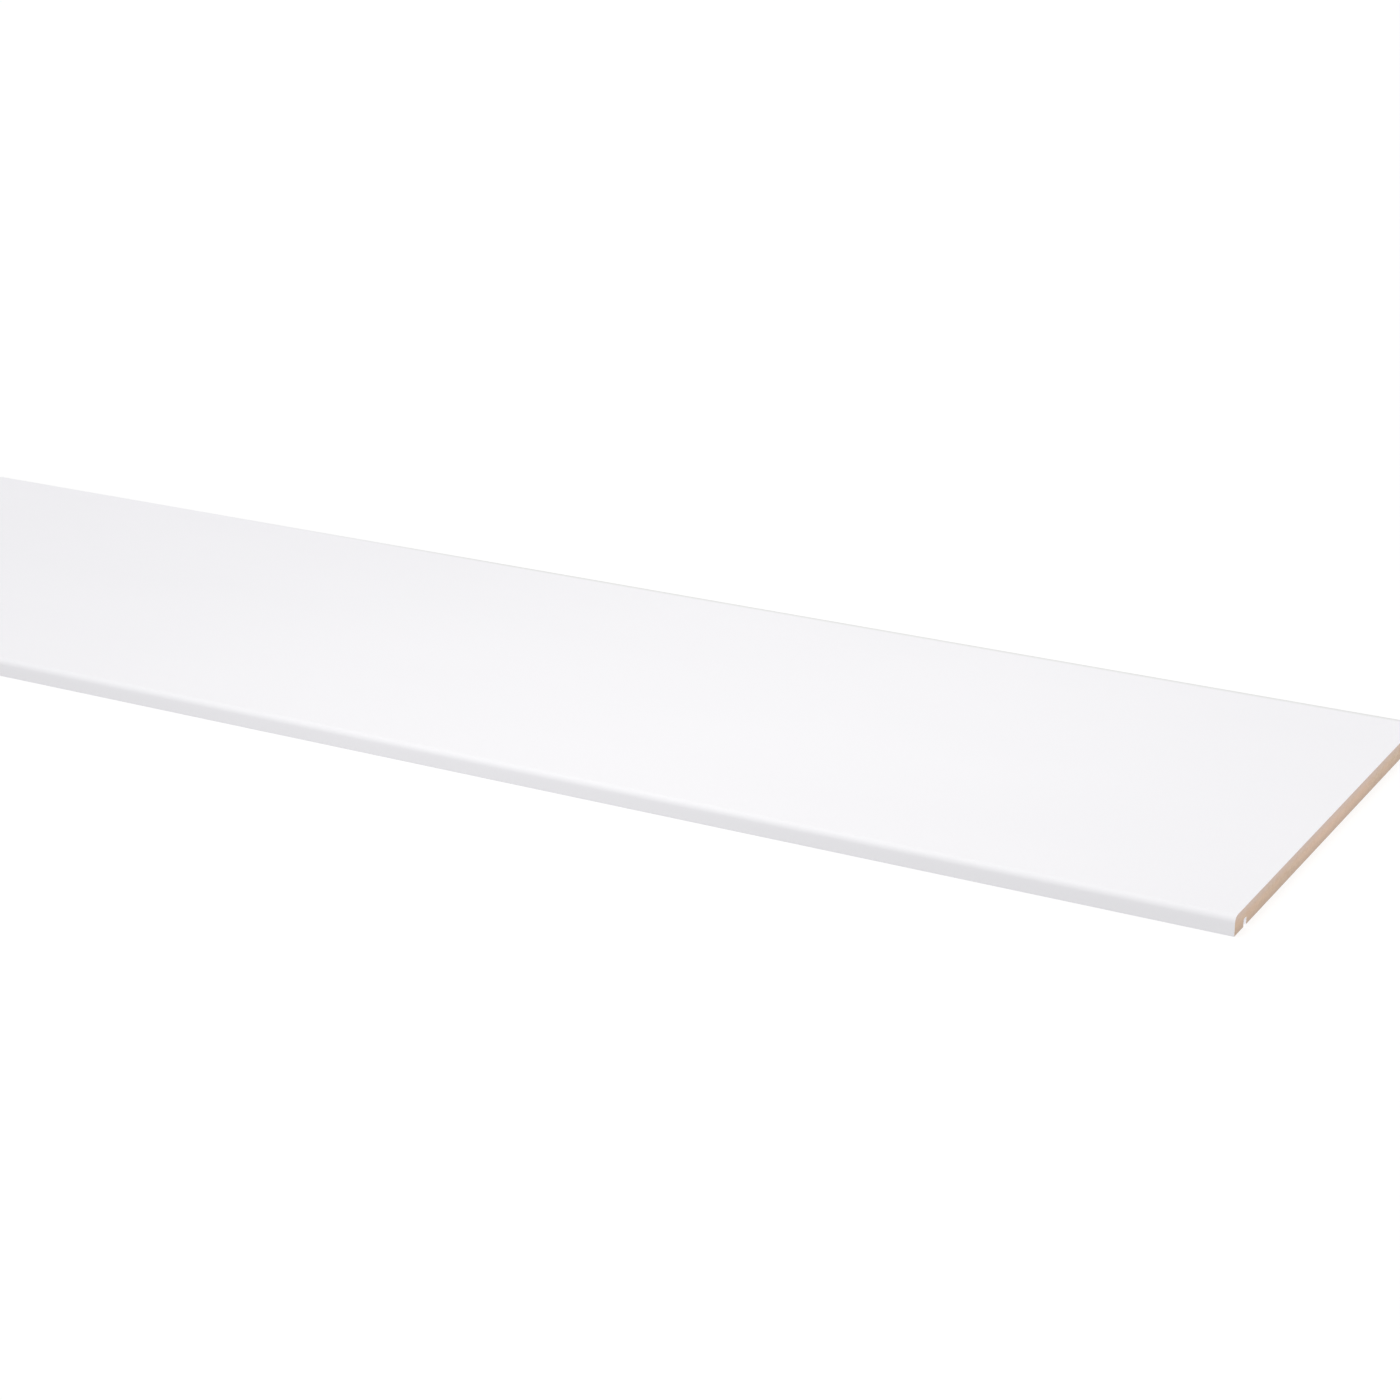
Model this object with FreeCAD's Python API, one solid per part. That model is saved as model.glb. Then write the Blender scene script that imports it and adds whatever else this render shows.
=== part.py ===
# Window sill board: one machined and coated fibreboard plank, lying flat as it is stored and sold.
#
# The board is one prism. Its cross-section is drawn in the YZ plane and carried along X
# from one sawn end to the other.
# The nose faces -Y. It is an upright front face with a full rounding above it, which runs
# out into the flat top, and a lower arris that is only just broken.
# A narrow groove runs the whole length of the underside, behind the nose. The upper edge
# of a wall lining or of plaster goes up into it.
# The back edge faces +Y, towards the window frame, and is square with broken arrises.
# Both ends are plain square saw cuts, so the groove is open at each of them.
# The origin is in the middle of the underside, +Z is up, and sizes are in millimetres.

import FreeCAD, Part
import math
import os

# The board
LENGTH = 3050.0
WIDTH = 500.0
THICKNESS = 18.0

# The nose and the back edge
NOSE_TOP_RADIUS = 6.0
NOSE_BOTTOM_RADIUS = 1.0
BACK_ARRIS_RADIUS = 0.6

# The groove. Its setback is from the nose's front face to the groove's front wall
GROOVE_SETBACK = 22.0
GROOVE_WIDTH = 6.0
GROOVE_DEPTH = 7.0
GROOVE_ROOT_RADIUS = 0.5
GROOVE_MOUTH_RADIUS = 0.4

# Places that follow from the sizes
X_LEFT_END = -LENGTH / 2
Y_NOSE = -WIDTH / 2
Y_BACK = WIDTH / 2
Y_GROOVE_FRONT = Y_NOSE + GROOVE_SETBACK
Y_GROOVE_BACK = Y_GROOVE_FRONT + GROOVE_WIDTH


def section_corners():
    """The cross-section's corners as (y, z, radius), in order from the nose's foot to its top."""
    return [
        (Y_NOSE, 0.0, NOSE_BOTTOM_RADIUS),
        (Y_GROOVE_FRONT, 0.0, GROOVE_MOUTH_RADIUS),
        (Y_GROOVE_FRONT, GROOVE_DEPTH, GROOVE_ROOT_RADIUS),
        (Y_GROOVE_BACK, GROOVE_DEPTH, GROOVE_ROOT_RADIUS),
        (Y_GROOVE_BACK, 0.0, GROOVE_MOUTH_RADIUS),
        (Y_BACK, 0.0, BACK_ARRIS_RADIUS),
        (Y_BACK, THICKNESS, BACK_ARRIS_RADIUS),
        (Y_NOSE, THICKNESS, NOSE_TOP_RADIUS),
    ]


def rounded_corner(before, corner, after, radius):
    """The start, middle and end of the arc that rounds a corner, tangent to both of its sides."""
    to_before = (before - corner).normalize()
    to_after = (after - corner).normalize()
    half_angle = to_before.getAngle(to_after) / 2
    inwards = (to_before + to_after).normalize()
    centre = corner + inwards * (radius / math.sin(half_angle))
    reach = radius / math.tan(half_angle)
    return corner + to_before * reach, centre - inwards * radius, corner + to_after * reach


def rounded_outline(corners):
    """A closed wire in the plane of the left-hand end: straight sides joined by tangent arcs."""
    points = [FreeCAD.Vector(X_LEFT_END, y, z) for y, z, _ in corners]
    count = len(points)
    arcs = [
        rounded_corner(points[i - 1], points[i], points[(i + 1) % count], corners[i][2])
        for i in range(count)
    ]
    edges = []
    for i, (start, middle, end) in enumerate(arcs):
        next_start = arcs[(i + 1) % count][0]
        edges.append(Part.Arc(start, middle, end).toShape())
        edges.append(Part.LineSegment(end, next_start).toShape())
    return Part.Wire(edges)


def sill_board():
    """The whole board as one solid: the section carried from one sawn end to the other."""
    section = Part.Face(rounded_outline(section_corners()))
    return section.extrude(FreeCAD.Vector(LENGTH, 0, 0))


os.makedirs("parts", exist_ok=True)
sill_board().exportStep("parts/sill_board.step")
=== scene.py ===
# The window sill board as it looks: a white satin coat on every long face, two bare sawn ends, a light
# table under it, and soft light. Sizes are in metres, in the board's own frame: +X runs along the board
# to the sawn end that shows, +Y from the nose to the back edge, and +Z up.

import math

import bpy
import numpy as np
from mathutils import Matrix, Vector


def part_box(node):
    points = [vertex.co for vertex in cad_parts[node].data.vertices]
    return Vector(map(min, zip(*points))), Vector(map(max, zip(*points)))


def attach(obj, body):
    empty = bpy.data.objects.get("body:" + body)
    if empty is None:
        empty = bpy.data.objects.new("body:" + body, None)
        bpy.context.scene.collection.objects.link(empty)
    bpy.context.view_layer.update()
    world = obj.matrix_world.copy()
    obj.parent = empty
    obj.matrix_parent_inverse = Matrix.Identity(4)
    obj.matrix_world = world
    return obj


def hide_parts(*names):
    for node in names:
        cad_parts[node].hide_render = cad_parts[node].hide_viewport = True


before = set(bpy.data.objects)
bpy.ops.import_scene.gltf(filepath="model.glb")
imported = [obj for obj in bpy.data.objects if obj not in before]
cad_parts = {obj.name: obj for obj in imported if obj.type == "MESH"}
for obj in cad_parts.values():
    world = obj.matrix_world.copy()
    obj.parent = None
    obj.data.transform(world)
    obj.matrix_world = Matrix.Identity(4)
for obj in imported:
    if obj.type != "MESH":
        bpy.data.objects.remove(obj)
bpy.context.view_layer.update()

# The board's outer sizes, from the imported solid
board_low, board_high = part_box("sill_board")
END_X = board_high.x
NOSE_Y = board_low.y
BACK_Y = board_high.y
THICKNESS = board_high.z

# The section's details
NOSE_TOP_RADIUS = 0.006
NOSE_BOTTOM_RADIUS = 0.001
BACK_ARRIS_RADIUS = 0.0006
GROOVE_SETBACK = 0.022
GROOVE_WIDTH = 0.006
GROOVE_DEPTH = 0.007
GROOVE_ROOT_RADIUS = 0.0005
GROOVE_MOUTH_RADIUS = 0.0004
WALL_LEAN = 0.00001  # leans the groove's walls, so that each place across the board has one height

# The coat, and the bare board in the pocket at each end
COAT_THICKNESS = 0.0003
SAWN_BLOCK_DEPTH = 0.008
SAWN_ENDS = (("sawn_end_right", 1, 21), ("sawn_end_left", -1, 22))  # name, side, seed

# The wear of the coat's rim, where the saw cut through it
RIM_SEEDS = ((-1, 3), (1, 5))  # side, seed
FINE_WEAR = 0.3
FINE_WEAR_REACH = 3  # neighbours on each side
WIDE_WEAR = 0.2
WIDE_WEAR_REACH = 12
RIM_SETBACK_LEAST = 0.15  # share of the coat's thickness
RIM_SETBACK_BY_WEAR = 0.35
RIM_ROUNDING = 0.00015
RIM_ROUNDING_LEAST = 0.4  # share of the rounding

# The saw marks on the bare ends
SAW_RELIEF = 0.00005
SAW_MARK_PITCH = 0.0045
SAW_MARK_RISE = 3  # how far a mark rises while it moves across by 1
SAW_MARK_DRIFTS = ((0.4, 0.021, 0), (0.3, 0.0083, 1))  # share of the pitch, metres to a radian, start
SAW_MARK_SHARE = 0.6
SAW_GRAIN_SHARE = 0.4

# How finely the surfaces are divided
LONG_ARC_STEPS = 24
SHORT_ARC_STEPS = 6
COLUMNS_ACROSS = 312
COLUMN_DECIMALS = 8
HEIGHT_STEPS = 12
LENGTH_STEPS = 20
SMOOTH_UNDER = math.radians(35)

# The white coat
NOISE_SPREAD = (0.3, 0.7)  # most of a noise lies in this range
COAT_CLOUD_SHARE = 0.7
COAT_SPECK_SHARE = 0.3
COAT_SHADED = (0.919, 0.912, 0.941)
COAT_BRIGHT = (0.954, 0.947, 0.976)
# Painted shade: the grey of the band along the back arris
ARRIS_SHADE_GREY = (0.80, 0.80, 0.80)
COAT_ROUGHNESS = (0.54, 0.62)
COAT_SPECULAR = 0.30
PULL_HEIGHT = 0.00004
PEEL_HEIGHT = 0.00003

# Painted shade: a grey band along the back edge, which fades in along the board towards the end that shows
ARRIS_SHADE_BAND_START = 0.008  # from the back edge
ARRIS_SHADE_BAND_FULL = 0.002
ARRIS_SHADE_FADE_START_X = 0.1
ARRIS_SHADE_FADE_FULL_X = 0.6
ARRIS_SHADE_MOST = 0.9

# The bare fibreboard
MAT_DARK = (0.580, 0.424, 0.302)
MAT_LIGHT = (0.694, 0.545, 0.413)
WARM_PATCH = (0.71, 0.50, 0.37)
WARM_PATCH_RANGE = (0.35, 0.65)
WARM_PATCH_MOST = 0.6
HALFWAY_TINT = (0.79, 0.56, 0.44)
HALFWAY_REACH = 0.20
HALFWAY_MOST = 0.5
# Tints by height: paler and pinker towards the top face, darker towards the lower face
UPPER_TINT = (0.68, 0.56, 0.515)
UPPER_START = 0.45  # share of the thickness
LOWER_TINT = (0.54, 0.41, 0.325)
LOWER_START = 0.55
HEIGHT_TINT_MOST = 0.7
PALE_FIBRE = (0.84, 0.72, 0.58)
PALE_FIBRE_RANGE = (0.54, 0.74)
DARK_FIBRE = (0.38, 0.26, 0.18)
DARK_FIBRE_RANGE = (0.45, 0.26)
FIBRE_MOST = 0.5
BARE_ROUGHNESS = (0.82, 0.95)
BARE_SPECULAR = 0.25
MAT_HEIGHT = 0.00025
FIBRE_HEIGHT = 0.00008

# The camera, from the photograph: its place is measured from the near foot of the sawn end
PHOTO_WIDTH = 1400.0
FOCAL_LENGTH_PIXELS = 3114.6
SENSOR_WIDTH_MM = 36.0
CAMERA_FROM_CORNER = Vector((0.7403, -2.2156, 1.0648))
CAMERA_YAW = math.radians(29.129)
CAMERA_PITCH = math.radians(20.487)
CAMERA_ROLL = math.radians(0.23)

# The light. Each side is the direction from the board towards the light
WHITE = (1.0, 1.0, 1.0)
BLACK = (0.0, 0.0, 0.0)
WORLD_STRENGTH = 0.625
WORLD_STRENGTH_SEEN = 1.0
CEILING_STRENGTH = 0.63
CEILING_SPREAD = math.radians(60)
CEILING_SIDE = Vector((0, -0.13, 0.99))
WINDOW_STRENGTH = 0.615
WINDOW_SPREAD = math.radians(40)
WINDOW_SIDE = Vector((0.92, -0.25, 0.30))
SOFTBOX_SIZE = 0.9
SOFTBOX_POWER = 1.2
SOFTBOX_COLOUR = (1.0, 0.99, 0.89)
SOFTBOX_PLACE = Vector((0.95, -0.17, 0.92))
SOFTBOX_SIDE = Vector((0, 0, 1))
FRONT_BOX_SIZE = 0.4
FRONT_BOX_POWER = 0.38
FRONT_BOX_PLACE = Vector((0.72, -0.85, 0.04))
FRONT_BOX_SIDE = Vector((0, -1, 0.1))

# The light table
TABLE_HALF_SIZE = 40.0
TABLE_GLOW = 0.6  # share of glow, against the matt surface
TABLE_STRENGTH_SEEN = 1.1  # with the shaded matt surface it comes to plain white
TABLE_STRENGTH = 1.19
TABLE_STRENGTH_IN_GROOVE = 1.75
CAMERA_REACH = 4 * TABLE_HALF_SIZE


def arc(centre_y, centre_z, radius, start, end, steps):
    """Points of an arc: the centre plus the radius times (cosine, sine) of evenly spaced angles."""
    angle = np.radians(np.linspace(start, end, steps + 1))
    return np.stack([centre_y + radius * np.cos(angle), centre_z + radius * np.sin(angle)], 1)


def lower_line():
    """The section's lower line from the nose to the back, as a chain of arcs joined by straights:
    the nose's arris, the groove's mouth and root on both of its sides, and the back edge's arris."""
    front_wall = NOSE_Y + GROOVE_SETBACK
    back_wall = front_wall + GROOVE_WIDTH
    front_root = front_wall + WALL_LEAN + GROOVE_ROOT_RADIUS
    back_root = back_wall - WALL_LEAN - GROOVE_ROOT_RADIUS
    root_z = GROOVE_DEPTH - GROOVE_ROOT_RADIUS
    mouth = GROOVE_MOUTH_RADIUS
    back = BACK_ARRIS_RADIUS
    nose = NOSE_BOTTOM_RADIUS
    return np.concatenate([
        arc(NOSE_Y + nose, nose, nose, 180, 270, SHORT_ARC_STEPS),
        arc(front_wall - mouth, mouth, mouth, 270, 360, SHORT_ARC_STEPS),
        arc(front_root, root_z, GROOVE_ROOT_RADIUS, 180, 90, SHORT_ARC_STEPS),
        arc(back_root, root_z, GROOVE_ROOT_RADIUS, 90, 0, SHORT_ARC_STEPS),
        arc(back_wall + mouth, mouth, mouth, 180, 270, SHORT_ARC_STEPS),
        arc(BACK_Y - back, back, back, 270, 360, SHORT_ARC_STEPS),
    ])


def upper_line():
    """The section's upper line from the nose to the back: the nose's rounding, the flat top, the arris."""
    nose = NOSE_TOP_RADIUS
    back = BACK_ARRIS_RADIUS
    return np.concatenate([
        arc(NOSE_Y + nose, THICKNESS - nose, nose, 180, 90, LONG_ARC_STEPS),
        arc(BACK_Y - back, THICKNESS - back, back, 90, 0, SHORT_ARC_STEPS),
    ])


def ruled(foot, head):
    """A grid of points between two lines: foot + share * (head - foot), with the share in even steps."""
    share = np.linspace(0, 1, HEIGHT_STEPS + 1)[:, None]
    return foot[:, None] + share * (head - foot)[:, None]


def section_sheet():
    """The section as a grid of (y, z): upright columns, each from the lower line to the upper line."""
    lower = lower_line()
    upper = upper_line()
    even = np.linspace(NOSE_Y, BACK_Y, COLUMNS_ACROSS)
    y = np.unique(np.round(np.concatenate([lower[:, 0], upper[:, 0], even]), COLUMN_DECIMALS))
    foot = np.stack([y, np.interp(y, lower[:, 0], lower[:, 1])], 1)
    head = np.stack([y, np.interp(y, upper[:, 0], upper[:, 1])], 1)
    return ruled(foot, head)


def rim_of(columns, rows):
    """Grid places round the sheet's edge: along the foot, up the back, along the head, down the nose."""
    across = np.arange(columns)
    up = np.arange(1, rows)
    down = np.arange(rows - 2, 0, -1)
    back = np.full(rows - 1, columns - 1)
    nose = np.zeros(rows - 2, int)
    column = np.concatenate([across, back, across[-2::-1], nose])
    row = np.concatenate([np.zeros(columns, int), up, np.full(columns - 1, rows - 1), down])
    return column, row


def moved_inwards(sheet, distance):
    """The same sheet with its edge moved inwards, square to itself, and ruled again between the edges."""
    place = rim_of(*sheet.shape[:2])
    edge = sheet[place]
    ahead = np.roll(edge, -1, 0) - edge
    ahead /= np.linalg.norm(ahead, axis=1, keepdims=True)
    along = ahead + np.roll(ahead, 1, 0)
    along /= np.linalg.norm(along, axis=1, keepdims=True)
    moved = sheet.copy()
    moved[place] = edge + distance * np.stack([-along[:, 1], along[:, 0]], 1)
    return ruled(moved[:, 0], moved[:, -1])


def smooth_noise(size, reach, seed):
    """Even noise from -1 to 1 round a closed line: random values, each averaged with its neighbours."""
    values = np.random.default_rng(seed).uniform(-1, 1, size)
    window = np.hanning(2 * reach + 3)
    wrapped = np.concatenate([values[-reach - 1:], values, values[:reach + 1]])
    blurred = np.convolve(wrapped, window / window.sum(), "valid")
    return blurred / np.abs(blurred).max()


def quads(first, second, third, fourth):
    """Faces from four equal arrays of vertex numbers."""
    return np.stack([first, second, third, fourth], -1).reshape(-1, 4)


def sheet_quads(number):
    """A grid's faces, turned so that they face +X."""
    return quads(number[:-1, :-1], number[1:, :-1], number[1:, 1:], number[:-1, 1:])


def swept_body(name, rings, start_sheet, end_sheet):
    """A closed mesh: the section's edge carried along a path of rings, closed by a sheet at each end.

    rings is (path, edge, 3). A sheet is (columns, rows, 3), and shares its edge with the ring it closes."""
    steps, around = rings.shape[:2]
    wall = np.arange(steps * around).reshape(steps, around)
    beside = np.roll(wall, -1, 1)
    faces = [quads(wall[:-1], beside[:-1], beside[1:], wall[1:])]
    points = [rings.reshape(-1, 3)]
    used = steps * around
    for sheet, ring, faces_back in ((start_sheet, wall[0], True), (end_sheet, wall[-1], False)):
        columns, rows = sheet.shape[:2]
        number = np.zeros((columns, rows), int)
        number[rim_of(columns, rows)] = ring
        inner = (columns - 2) * (rows - 2)
        number[1:-1, 1:-1] = used + np.arange(inner).reshape(columns - 2, rows - 2)
        used += inner
        points.append(sheet[1:-1, 1:-1].reshape(-1, 3))
        closing = sheet_quads(number)
        faces.append(closing[:, ::-1] if faces_back else closing)
    return mesh_object(name, np.concatenate(points), np.concatenate(faces))


def mesh_object(name, points, faces):
    """A smooth-shaded mesh object with its sharp edges kept, from vertex and four-sided face arrays."""
    mesh = bpy.data.meshes.new(name)
    mesh.from_pydata(points.tolist(), [], faces.tolist())
    mesh.polygons.foreach_set("use_smooth", np.ones(len(faces), bool))
    mesh.set_sharp_from_angle(angle=SMOOTH_UNDER)
    return placed(name, mesh)


def placed(name, data):
    """An object that shows the data, put into the scene."""
    made = bpy.data.objects.new(name, data)
    bpy.context.scene.collection.objects.link(made)
    return made


def at_x(section, x):
    """Section points (y, z) placed at x, which is one number or one for each point."""
    return np.stack([np.broadcast_to(x, section.shape[:-1]), section[..., 0], section[..., 1]], -1)


def rim_wear(around, seed):
    """How worn the coat's rim is round the section, from 0 to 1: one half, plus fine and wide noise."""
    fine = smooth_noise(around, FINE_WEAR_REACH, seed)
    wide = smooth_noise(around, WIDE_WEAR_REACH, seed + 1)
    return 0.5 + FINE_WEAR * fine + WIDE_WEAR * wide


def coated_body(outer, inner):
    """The coated board. The section's edge starts in the pocket that holds one sawn block, comes out to
    the end, turns over the coat's rim, runs the length, and goes back into the pocket at the other end."""
    place = rim_of(*outer.shape[:2])
    outside = outer[place]
    inside = inner[place]
    depth = END_X - SAWN_BLOCK_DEPTH
    along = np.linspace(-1, 1, LENGTH_STEPS)[1:-1] * END_X
    rings = []
    for side, seed in RIM_SEEDS:
        wear = rim_wear(len(outside), seed)
        edge = outside + (inside - outside) * (RIM_SETBACK_LEAST + RIM_SETBACK_BY_WEAR * wear)[:, None]
        turn = [
            at_x(inside, side * depth),
            at_x(inside, side * END_X),
            at_x(edge, side * END_X),
            at_x(outside, side * (END_X - RIM_ROUNDING * (RIM_ROUNDING_LEAST + wear))),
        ]
        if side < 0:
            rings += turn + [at_x(outside, x) for x in along]
        else:
            rings += turn[::-1]
    return swept_body("coated_board", np.stack(rings), at_x(inner, -depth), at_x(inner, depth))


def saw_relief(section, seed):
    """How far the sawn face lies behind the end, at each point: shallow saw marks that lean a little,
    sin(2 pi (y + z / rise + a slow drift) / pitch), with fine noise, and nothing at the edge."""
    y, z = section[..., 0], section[..., 1]
    drift = sum(
        share * SAW_MARK_PITCH * np.sin(y / reach + start)
        for share, reach, start in SAW_MARK_DRIFTS
    )
    marks = 0.5 + 0.5 * np.sin(2 * math.pi * (y + z / SAW_MARK_RISE + drift) / SAW_MARK_PITCH)
    grain = np.random.default_rng(seed).uniform(0, 1, y.shape)
    depth = SAW_RELIEF * (SAW_MARK_SHARE * marks + SAW_GRAIN_SHARE * grain)
    depth[rim_of(*y.shape)] = 0
    return depth


def sawn_block(name, inner, side, seed):
    """The bare board at one end: a short block that fills the coat's pocket, with the sawn face outwards."""
    edge = inner[rim_of(*inner.shape[:2])]
    back = side * (END_X - SAWN_BLOCK_DEPTH)
    face = at_x(inner, side * (END_X - saw_relief(inner, seed)))
    rings = [at_x(edge, back), at_x(edge, side * END_X)]
    sheets = [at_x(inner, back), face]
    if side < 0:
        rings.reverse()
        sheets.reverse()
    return swept_body(name, np.stack(rings), *sheets)


class Nodes:
    """Short calls for the nodes of one tree."""

    def __init__(self, tree):
        self.tree = tree

    def add(self, kind, **settings):
        """A new node with these settings, such as its operation."""
        node = self.tree.nodes.new(kind)
        for key, value in settings.items():
            setattr(node, key, value)
        return node

    def put(self, socket, value):
        """Links an output to the socket, or sets a plain value on it."""
        if isinstance(value, bpy.types.NodeSocket):
            self.tree.links.new(value, socket)
        else:
            socket.default_value = value

    def ranged(self, value, low, high, to_low=0.0, to_high=1.0, smooth=True):
        """The value carried over from one range to another, and held at the range's two ends."""
        node = self.add("ShaderNodeMapRange", interpolation_type="SMOOTHSTEP" if smooth else "LINEAR")
        self.put(node.inputs["Value"], value)
        self.put(node.inputs["From Min"], low)
        self.put(node.inputs["From Max"], high)
        self.put(node.inputs["To Min"], to_low)
        self.put(node.inputs["To Max"], to_high)
        return node.outputs["Result"]

    def maths(self, operation, *values):
        """One operation on one, two or three values."""
        node = self.add("ShaderNodeMath", operation=operation)
        for socket, value in zip(node.inputs, values):
            self.put(socket, value)
        return node.outputs["Value"]

    def axes(self, place):
        """The place's x, y and z on their own."""
        node = self.add("ShaderNodeSeparateXYZ")
        self.put(node.inputs["Vector"], place)
        return node.outputs["X"], node.outputs["Y"], node.outputs["Z"]

    def blend(self, share, first, second):
        """A colour that goes from the first to the second as the share goes from 0 to 1."""
        node = self.add("ShaderNodeMix", data_type="RGBA")
        self.put(node.inputs["Factor"], share)
        self.put(node.inputs["A"], first if isinstance(first, bpy.types.NodeSocket) else (*first, 1))
        self.put(node.inputs["B"], second if isinstance(second, bpy.types.NodeSocket) else (*second, 1))
        return node.outputs["Result"]

    def glowing(self, kind, strength):
        """A node that gives plain white light of this strength."""
        node = self.add(kind)
        self.put(node.inputs["Color"], (*WHITE, 1))
        self.put(node.inputs["Strength"], strength)
        return node.outputs[0]

    def seen_straight(self):
        """1 for rays from the camera, off gloss or through glass, and 0 for light that falls on things."""
        rays = self.add("ShaderNodeLightPath").outputs
        seen = rays["Is Camera Ray"]
        for name in ("Is Glossy Ray", "Is Transmission Ray"):
            seen = self.maths("MAXIMUM", seen, rays[name])
        return seen

    def surface(self, kind, share, first, second):
        """Ends the tree in an output node, with a mix of two shaders."""
        mix = self.add("ShaderNodeMixShader")
        self.put(mix.inputs["Fac"], share)
        self.put(mix.inputs[1], first)
        self.put(mix.inputs[2], second)
        self.put(self.add(kind).inputs["Surface"], mix.outputs["Shader"])


class Finish(Nodes):
    """A material with one Principled shader, and the patterns that the board's finishes use."""

    def __init__(self, name):
        self.material = bpy.data.materials.new(name)
        self.material.use_nodes = True
        super().__init__(self.material.node_tree)
        self.shader = self.tree.nodes["Principled BSDF"]
        self.place = self.add("ShaderNodeTexCoord").outputs["Object"]

    def noise(self, per_metre, detail=2.0, roughness=0.5, stretch=(1, 1, 1), offset=(0, 0, 0)):
        """Noise from 0 to 1, with so many lumps to a metre, pulled out along the axes by stretch."""
        mapping = self.add("ShaderNodeMapping")
        self.put(mapping.inputs["Vector"], self.place)
        self.put(mapping.inputs["Scale"], stretch)
        self.put(mapping.inputs["Location"], offset)
        node = self.add("ShaderNodeTexNoise")
        self.put(node.inputs["Vector"], mapping.outputs["Vector"])
        self.put(node.inputs["Scale"], per_metre)
        self.put(node.inputs["Detail"], detail)
        self.put(node.inputs["Roughness"], roughness)
        return node.outputs["Fac"]

    def bump(self, height, distance, under=None):
        """A normal for relief that is this deep, on top of the relief under it."""
        node = self.add("ShaderNodeBump")
        self.put(node.inputs["Height"], height)
        self.put(node.inputs["Distance"], distance)
        if under is not None:
            self.put(node.inputs["Normal"], under)
        return node.outputs["Normal"]

    def dress(self, colour, roughness, specular, normal):
        """Sets the shader's colour, roughness, specular level and normal."""
        self.put(self.shader.inputs["Base Color"], colour)
        self.put(self.shader.inputs["Roughness"], roughness)
        self.put(self.shader.inputs["Specular IOR Level"], specular)
        self.put(self.shader.inputs["Normal"], normal)


def white_coat():
    """White satin lacquer: rolled on, so it has a fine orange peel and a faint pull along the board.
    Over the back arris it carries painted shade: a grey band, which grows towards the end that shows."""
    finish = Finish("white satin coat")
    x, y, _ = finish.axes(finish.place)
    cloud = finish.noise(7.0, detail=3.0, stretch=(0.4, 1, 1))
    speck = finish.noise(900.0)
    cloud_part = finish.maths("MULTIPLY", cloud, COAT_CLOUD_SHARE)
    tone = finish.maths("ADD", cloud_part, finish.maths("MULTIPLY", speck, COAT_SPECK_SHARE))
    body = finish.blend(tone, COAT_SHADED, COAT_BRIGHT)
    # Painted shade along the back arris: a grey band, which fades in along the board towards the end that
    # shows
    most = finish.ranged(x, ARRIS_SHADE_FADE_START_X, ARRIS_SHADE_FADE_FULL_X, 0.0, ARRIS_SHADE_MOST)
    arris_shade = finish.ranged(y, BACK_Y - ARRIS_SHADE_BAND_START, BACK_Y - ARRIS_SHADE_BAND_FULL, 0.0, most)
    colour = finish.blend(arris_shade, body, ARRIS_SHADE_GREY)
    sheen = finish.noise(60.0, detail=3.0, stretch=(0.3, 1, 1), offset=(3, 1, 0))
    roughness = finish.ranged(sheen, *NOISE_SPREAD, *COAT_ROUGHNESS)
    peel = finish.noise(620.0, detail=1.0, roughness=0.4)
    pull = finish.noise(420.0, stretch=(0.05, 1, 1), offset=(0, 2, 0))
    relief = finish.bump(peel, PEEL_HEIGHT, under=finish.bump(pull, PULL_HEIGHT))
    finish.dress(colour, roughness, COAT_SPECULAR, relief)
    return finish.material


def bare_fibreboard():
    """Sawn MDF: tan, paler and pinker under the top face and half way across the board, darker over the
    lower face, and matted with short pale and dark fibres."""
    finish = Finish("bare fibreboard")
    _, y, z = finish.axes(finish.place)
    mat = finish.noise(260.0, detail=5.0, roughness=0.65, stretch=(1, 0.6, 1.3))
    fibre = finish.noise(1700.0, detail=4.0, roughness=0.65, stretch=(1, 0.32, 1.7), offset=(0, 5, 2))
    cloud = finish.noise(24.0, stretch=(1, 1, 2), offset=(4, 0, 1))
    colour = finish.blend(finish.ranged(mat, *NOISE_SPREAD), MAT_DARK, MAT_LIGHT)
    from_middle = finish.maths("ABSOLUTE", y)
    for share, tint in (
        (finish.ranged(cloud, *WARM_PATCH_RANGE, 0.0, WARM_PATCH_MOST), WARM_PATCH),
        (finish.ranged(from_middle, HALFWAY_REACH, 0.0, 0.0, HALFWAY_MOST), HALFWAY_TINT),
        (finish.ranged(z, THICKNESS * UPPER_START, THICKNESS, 0.0, HEIGHT_TINT_MOST), UPPER_TINT),
        (finish.ranged(z, THICKNESS * LOWER_START, 0.0, 0.0, HEIGHT_TINT_MOST), LOWER_TINT),
        (finish.ranged(fibre, *PALE_FIBRE_RANGE, 0.0, FIBRE_MOST), PALE_FIBRE),
        (finish.ranged(fibre, *DARK_FIBRE_RANGE, 0.0, FIBRE_MOST), DARK_FIBRE),
    ):
        colour = finish.blend(share, colour, tint)
    roughness = finish.ranged(mat, *NOISE_SPREAD, *BARE_ROUGHNESS)
    relief = finish.bump(fibre, FIBRE_HEIGHT, under=finish.bump(mat, MAT_HEIGHT))
    finish.dress(colour, roughness, BARE_SPECULAR, relief)
    return finish.material


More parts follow.
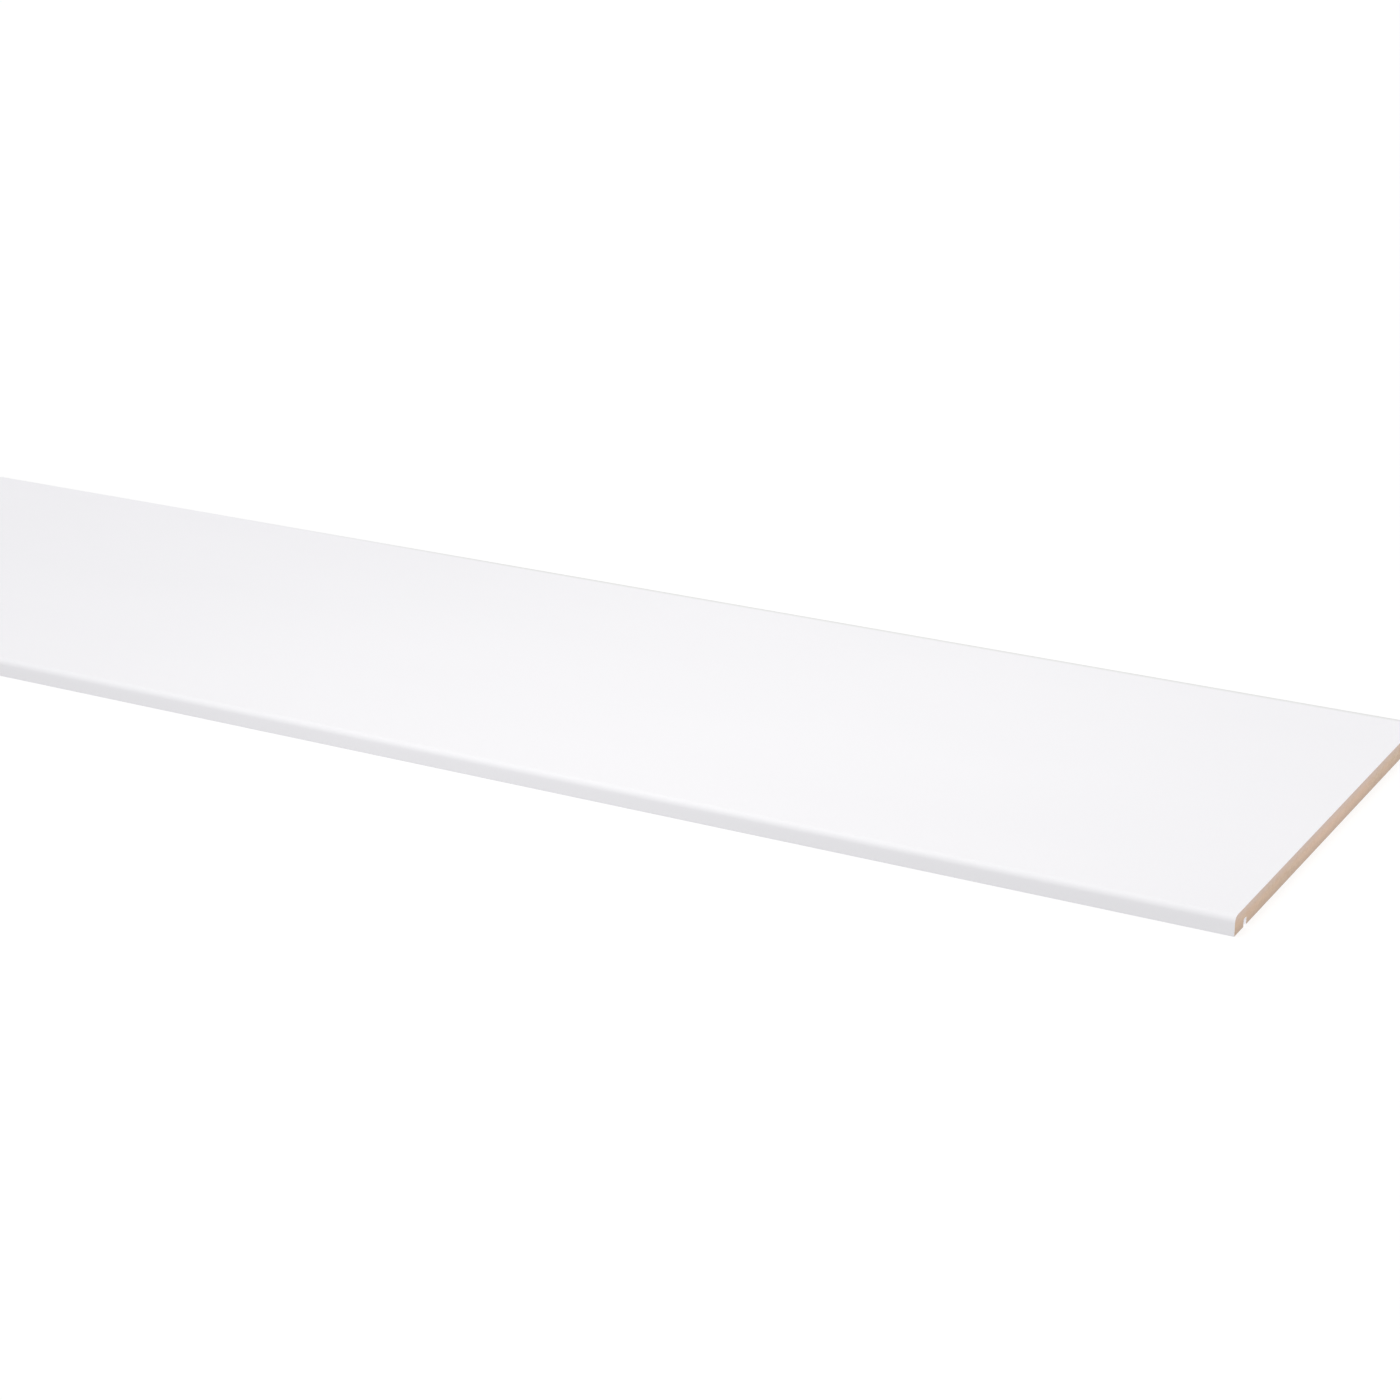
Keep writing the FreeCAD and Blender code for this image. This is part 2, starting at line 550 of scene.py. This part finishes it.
def light_table():
    """The floor's material. It glows evenly from below, and more under the groove, so that the groove shows
    nearly as open as in the photograph. It takes a faint shadow, and is white where it is seen."""
    material = bpy.data.materials.new("light table")
    material.use_nodes = True
    material.node_tree.nodes.clear()
    nodes = Nodes(material.node_tree)
    seen = nodes.seen_straight()
    matt = nodes.add("ShaderNodeBsdfDiffuse")
    nodes.put(matt.inputs["Color"], nodes.blend(seen, BLACK, WHITE))
    x, y, _ = nodes.axes(nodes.add("ShaderNodeNewGeometry").outputs["Position"])
    groove_y = NOSE_Y + GROOVE_SETBACK + GROOVE_WIDTH / 2
    under_board = nodes.maths("COMPARE", x, 0.0, END_X)
    under_groove = nodes.maths("COMPARE", y, groove_y, GROOVE_WIDTH / 2)
    in_groove = nodes.maths("MULTIPLY", under_board, under_groove)
    cast = nodes.ranged(in_groove, 0.0, 1.0, TABLE_STRENGTH, TABLE_STRENGTH_IN_GROOVE, smooth=False)
    strength = nodes.ranged(seen, 0.0, 1.0, cast, TABLE_STRENGTH_SEEN, smooth=False)
    glow = nodes.glowing("ShaderNodeEmission", strength)
    nodes.surface("ShaderNodeOutputMaterial", TABLE_GLOW, matt.outputs["BSDF"], glow)
    return material


def floor():
    """A wide flat light table that the board lies on."""
    reach = TABLE_HALF_SIZE
    corners = [(-reach, -reach, 0), (reach, -reach, 0), (reach, reach, 0), (-reach, reach, 0)]
    mesh = bpy.data.meshes.new("floor")
    mesh.from_pydata(corners, [], [(0, 1, 2, 3)])
    made = placed("floor", mesh)
    mesh.materials.append(light_table())


def surroundings():
    """An even white room: it lights the board at a plain level, and is white where it is seen."""
    world = bpy.data.worlds.new("white room")
    world.use_nodes = True
    world.node_tree.nodes.clear()
    nodes = Nodes(world.node_tree)
    cast = nodes.glowing("ShaderNodeBackground", WORLD_STRENGTH)
    shown = nodes.glowing("ShaderNodeBackground", WORLD_STRENGTH_SEEN)
    nodes.surface("ShaderNodeOutputWorld", nodes.seen_straight(), cast, shown)
    bpy.context.scene.world = world


def lamp(name, kind, strength, place, side):
    """A lamp at a place, which shines from the given side. Its light is handed back for its own settings."""
    light = bpy.data.lights.new(name, kind)
    light.energy = strength
    turn = side.to_track_quat("Z", "Y").to_matrix().to_4x4()
    placed(name, light).matrix_world = Matrix.Translation(place) @ turn
    return light


def lamps():
    """Even soft light from above and from a window at the end that shows, a softbox over the board's
    front half, and a small one low in front of the nose. The even lights shine the same from any place."""
    ceiling = lamp("ceiling", "SUN", CEILING_STRENGTH, SOFTBOX_PLACE, CEILING_SIDE)
    ceiling.angle = CEILING_SPREAD
    window = lamp("window", "SUN", WINDOW_STRENGTH, SOFTBOX_PLACE, WINDOW_SIDE)
    window.angle = WINDOW_SPREAD
    softbox = lamp("softbox", "AREA", SOFTBOX_POWER, SOFTBOX_PLACE, SOFTBOX_SIDE)
    softbox.shape = "DISK"
    softbox.size = SOFTBOX_SIZE
    softbox.color = SOFTBOX_COLOUR
    front_box = lamp("front box", "AREA", FRONT_BOX_POWER, FRONT_BOX_PLACE, FRONT_BOX_SIDE)
    front_box.shape = "DISK"
    front_box.size = FRONT_BOX_SIZE


def camera():
    """The photograph's camera. Its axes are worked out from the yaw, the pitch and a slight roll."""
    ahead = Vector((
        -math.sin(CAMERA_YAW) * math.cos(CAMERA_PITCH),
        math.cos(CAMERA_YAW) * math.cos(CAMERA_PITCH),
        -math.sin(CAMERA_PITCH),
    ))
    level = Vector((math.cos(CAMERA_YAW), math.sin(CAMERA_YAW), 0))
    upright = level.cross(ahead)
    right = math.cos(CAMERA_ROLL) * level - math.sin(CAMERA_ROLL) * upright
    up = right.cross(ahead)
    lens = bpy.data.cameras.new("camera")
    lens.sensor_width = SENSOR_WIDTH_MM
    lens.lens = SENSOR_WIDTH_MM * FOCAL_LENGTH_PIXELS / PHOTO_WIDTH
    lens.clip_end = CAMERA_REACH
    axes = Matrix((right, up, -ahead)).transposed().to_4x4()
    corner = Vector((END_X, NOSE_Y, 0))
    made = placed("camera", lens)
    made.matrix_world = Matrix.Translation(corner + CAMERA_FROM_CORNER) @ axes
    bpy.context.scene.camera = made


def board():
    """The coated board and the two bare ends, in place of the plain solid."""
    outer = section_sheet()
    inner = moved_inwards(outer, COAT_THICKNESS)
    coat = white_coat()
    bare = bare_fibreboard()
    coated = coated_body(outer, inner)
    coated.data.materials.append(coat)
    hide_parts("sill_board")
    pieces = [coated]
    for name, side, seed in SAWN_ENDS:
        block = sawn_block(name, inner, side, seed)
        block.data.materials.append(bare)
        pieces.append(block)
    for piece in pieces:
        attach(piece, "root")


camera()
surroundings()
lamps()
floor()
board()

bpy.context.scene.view_settings.view_transform = "Standard"
